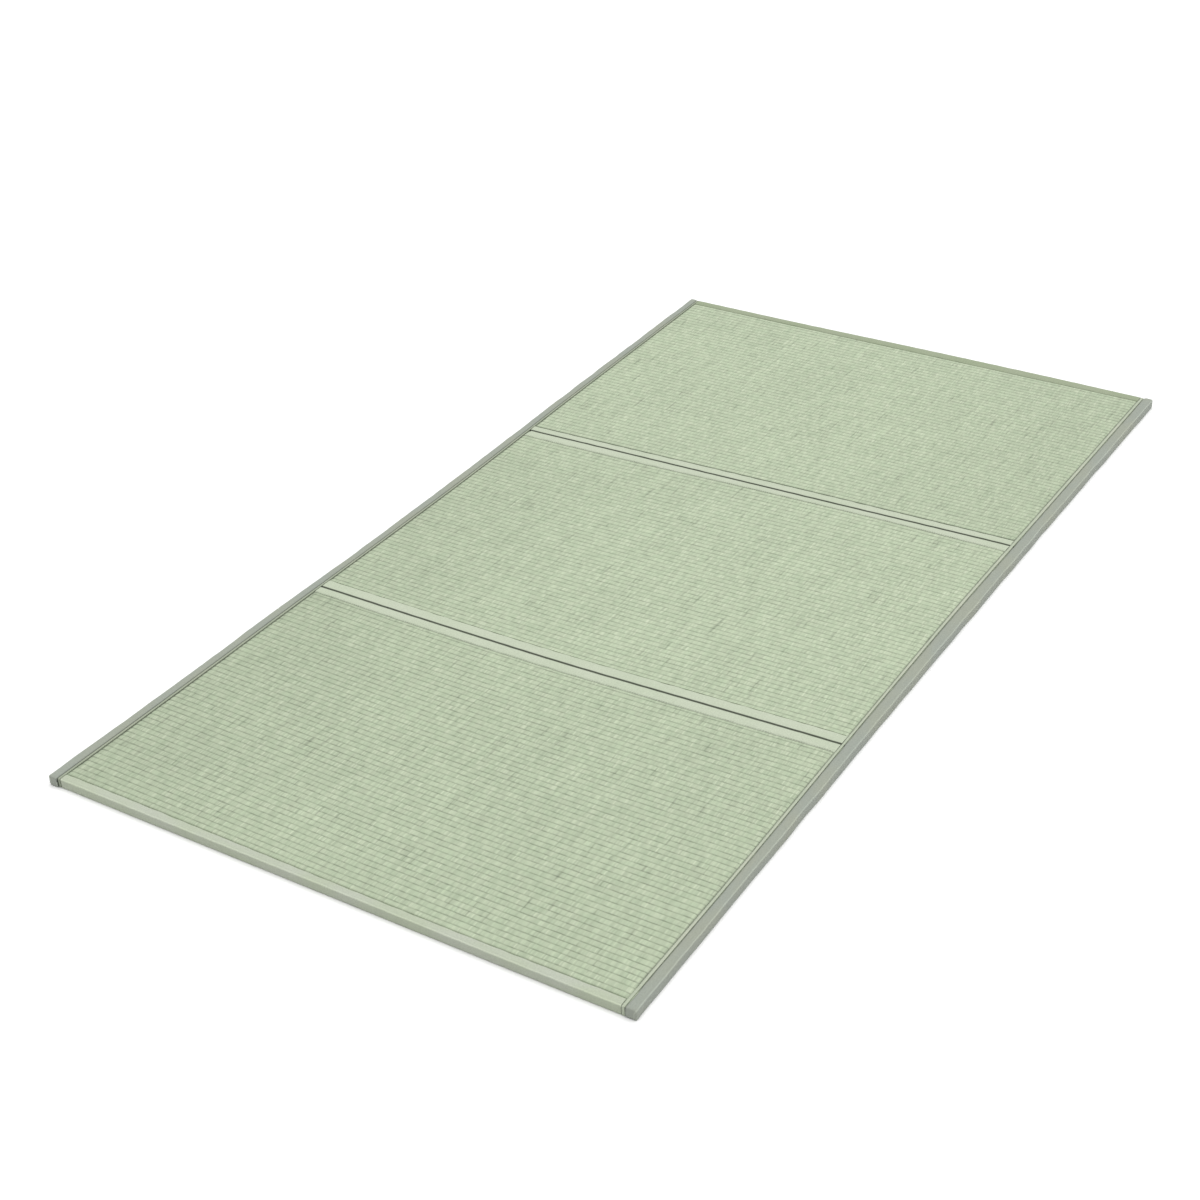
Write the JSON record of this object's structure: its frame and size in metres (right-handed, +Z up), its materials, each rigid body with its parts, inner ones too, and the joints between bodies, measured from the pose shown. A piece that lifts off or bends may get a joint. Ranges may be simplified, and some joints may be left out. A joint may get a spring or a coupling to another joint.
{
  "type": "tatami mat",
  "caption": "Folding rush floor mat lying open: ribbed woven panels joined at two folds, cloth binding round the long and short edges.",
  "frame": {"origin": "on the floor under the middle of the open mat", "axes": "+Z up, Y along the mat's length from the near end at -Y to the far end, X across its width"},
  "size_m": [1.0224, 1.879, 0.017],
  "materials": {
    "rush": "dry woven rush in low ribs, pale grey green",
    "side_cloth": "plain woven cotton tape, matt grey green",
    "strip_cloth": "plain woven ribbon, matt pale green",
    "end_cloth": "plain woven cotton tape, matt light green",
    "fold_cloth": "plain woven cotton tape, matt light green"
  },
  "bodies": {
    "root": {"panel_near": "rush", "panel_middle": "rush", "panel_far": "rush", "side_binding_left": "side_cloth", "side_binding_right": "side_cloth", "side_strip_left": "strip_cloth", "side_strip_right": "strip_cloth", "end_binding_near": "end_cloth", "end_binding_far": "end_cloth", "fold_1_band_near": "fold_cloth", "fold_1_band_far": "fold_cloth", "fold_2_band_near": "fold_cloth", "fold_2_band_far": "fold_cloth"}
  },
  "joints": []
}
